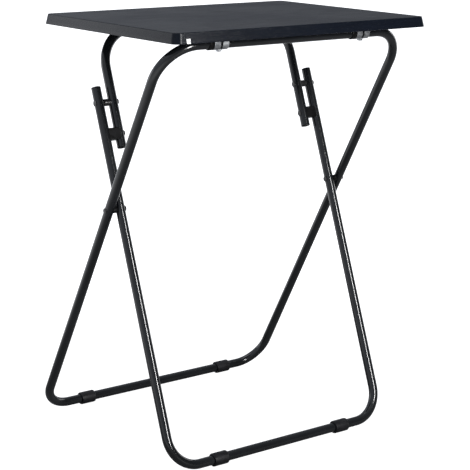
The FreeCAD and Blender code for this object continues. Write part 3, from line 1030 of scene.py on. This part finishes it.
def tray_top():
    obj = new_object("tray_top_panel", board_mesh())
    cutters = [groove_cutter(collar) for collar in names("bar_collar")]
    for cutter in cutters:
        cut = obj.modifiers.new("groove", "BOOLEAN")
        cut.operation = "DIFFERENCE"
        cut.solver = "EXACT"
        cut.object = cutter
    as_plain_mesh(obj, sharp_degrees=40)
    for cutter in cutters:
        bpy.data.objects.remove(cutter)
    mark_edges(obj, sharpest=0.5)
    hand_in(obj, "tray", "tray_top", "tray_board")


tray_top()


# ---- CAD nodes that stay, with their finishes ----

def paint_node(node, material):
    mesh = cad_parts[node].data
    mesh.materials.clear()
    mesh.materials.append(material)


for node in names("front_clip") + names("rear_clip"):
    paint_node(node, ZINC)
for node in names("lock_saddle"):
    paint_node(node, NYLON)
paint_node("edge_label", FILM)


# ---- Floor, light and camera ----

def floor():
    """A pale floor that is lifted to the backdrop's white where the camera sees it. For other rays
    it holds painted shade and a painted glow.
    """
    turns = ((-1, -1), (1, -1), (1, 1), (-1, 1))
    corners = [(x * FLOOR_REACH, y * FLOOR_REACH, 0) for x, y in turns]
    mesh = bpy.data.meshes.new("pale_floor")
    mesh.from_pydata(corners, [], [(0, 1, 2, 3)])
    material, tree, shader, place = finish_material("pale_floor_with_painted_shade", 0.2)
    cloud = cloudy(tree, place, 1.5, grey(0.95), grey(1.0))
    # Painted shade and light: darker around the feet and to the front right, lighter further out
    # and to the back left.
    distance = add_node(tree, "ShaderNodeVectorMath", operation="LENGTH")
    wire(tree, place, distance.inputs[0])
    around = add_node(tree, "ShaderNodeVectorMath", operation="NORMALIZE")
    wire(tree, place, around.inputs[0])
    facing = add_node(tree, "ShaderNodeVectorMath", operation="DOT_PRODUCT")
    wire(tree, around.outputs[0], facing.inputs[0])
    facing.inputs[1].default_value = FLOOR_PAINTED_LIGHT_TOWARDS
    painted_light_share = math_node(tree, "MULTIPLY", remap(tree, distance.outputs["Value"], 0.35, 1.3),
                    remap(tree, facing.outputs["Value"], -0.85, -0.10))
    tone = mix_colour(tree, painted_light_share, grey(0.26), grey(0.88))
    wire(tree, multiply_colours(tree, tone, cloud["Colour"]), shader.inputs["Base Color"])
    wire(tree, between(tree, cloud["Mask"], 0.62, 0.72), shader.inputs["Roughness"])
    # Camera rays see an even white glow. Other rays see the painted shade in the tone, plus a
    # painted glow that follows it.
    glow = add_node(tree, "ShaderNodeEmission")
    glow.inputs["Color"].default_value = WHITE
    glow.inputs["Strength"].default_value = FLOOR_GLOW
    seen = add_node(tree, "ShaderNodeLightPath").outputs["Is Camera Ray"]
    lift = add_node(tree, "ShaderNodeMixShader")
    painted_glow = add_node(tree, "ShaderNodeEmission")
    wire(tree, math_node(tree, "MULTIPLY", painted_light_share, FLOOR_PAINTED_GLOW), painted_glow.inputs["Strength"])
    wire(tree, seen, lift.inputs[0])
    wire(tree, painted_glow.outputs[0], lift.inputs[1])
    wire(tree, glow.outputs[0], lift.inputs[2])
    both = add_node(tree, "ShaderNodeAddShader")
    wire(tree, shader.outputs[0], both.inputs[0])
    wire(tree, lift.outputs[0], both.inputs[1])
    wire(tree, both.outputs[0], tree.nodes["Material Output"].inputs["Surface"])
    mesh.materials.append(material)
    new_object("pale_floor", mesh)


def soft_light(name, place, target, width, height, power):
    data = bpy.data.lights.new(name, "AREA")
    data.shape = "RECTANGLE"
    data.size = width
    data.size_y = height
    data.energy = power
    obj = bpy.data.objects.new(name, data)
    obj.location = place
    obj.rotation_mode = "QUATERNION"
    obj.rotation_quaternion = (Vector(target) - Vector(place)).to_track_quat("-Z", "Y")
    bpy.context.scene.collection.objects.link(obj)


def surround():
    """A white backdrop. As light, it is bright at the back left and dim at the front right."""
    world = bpy.data.worlds.new("pale_surround")
    world.use_nodes = True
    tree = world.node_tree
    background = tree.nodes["Background"]
    towards = add_node(tree, "ShaderNodeTexCoord").outputs["Generated"]
    facing = add_node(tree, "ShaderNodeVectorMath", operation="DOT_PRODUCT")
    wire(tree, towards, facing.inputs[0])
    facing.inputs[1].default_value = BRIGHT_TOWARDS
    share = remap(tree, facing.outputs["Value"], -0.7, 0.8)
    light = mix_colour(tree, share, DIM_SIDE, BRIGHT_SIDE)
    seen = add_node(tree, "ShaderNodeLightPath").outputs["Is Camera Ray"]
    wire(tree, mix_colour(tree, seen, light, WHITE), background.inputs["Color"])
    background.inputs["Strength"].default_value = 1.0
    bpy.context.scene.world = world


def camera():
    azimuth = math.radians(CAMERA_AZIMUTH)
    elevation = math.radians(CAMERA_ELEVATION)
    roll = math.radians(CAMERA_ROLL)
    back = Vector((math.sin(azimuth) * math.cos(elevation),
                   -math.cos(azimuth) * math.cos(elevation),
                   math.sin(elevation)))
    right = Vector((math.cos(azimuth), math.sin(azimuth), 0))
    up = back.cross(right)
    turned_right = right * math.cos(roll) + up * math.sin(roll)
    turned_up = up * math.cos(roll) - right * math.sin(roll)
    data = bpy.data.cameras.new("camera")
    data.sensor_width = 36.0
    data.lens = CAMERA_LENS
    data.shift_x, data.shift_y = CAMERA_SHIFT
    data.clip_start = 0.05
    data.clip_end = 100.0
    obj = bpy.data.objects.new("camera", data)
    turn = Matrix((turned_right, turned_up, back)).transposed()
    obj.matrix_world = Matrix.Translation(CAMERA_PLACE) @ turn.to_4x4()
    bpy.context.scene.collection.objects.link(obj)
    bpy.context.scene.camera = obj


floor()
surround()
for softbox in SOFTBOXES:
    soft_light(*softbox)
camera()
bpy.context.scene.view_settings.view_transform = "Standard"
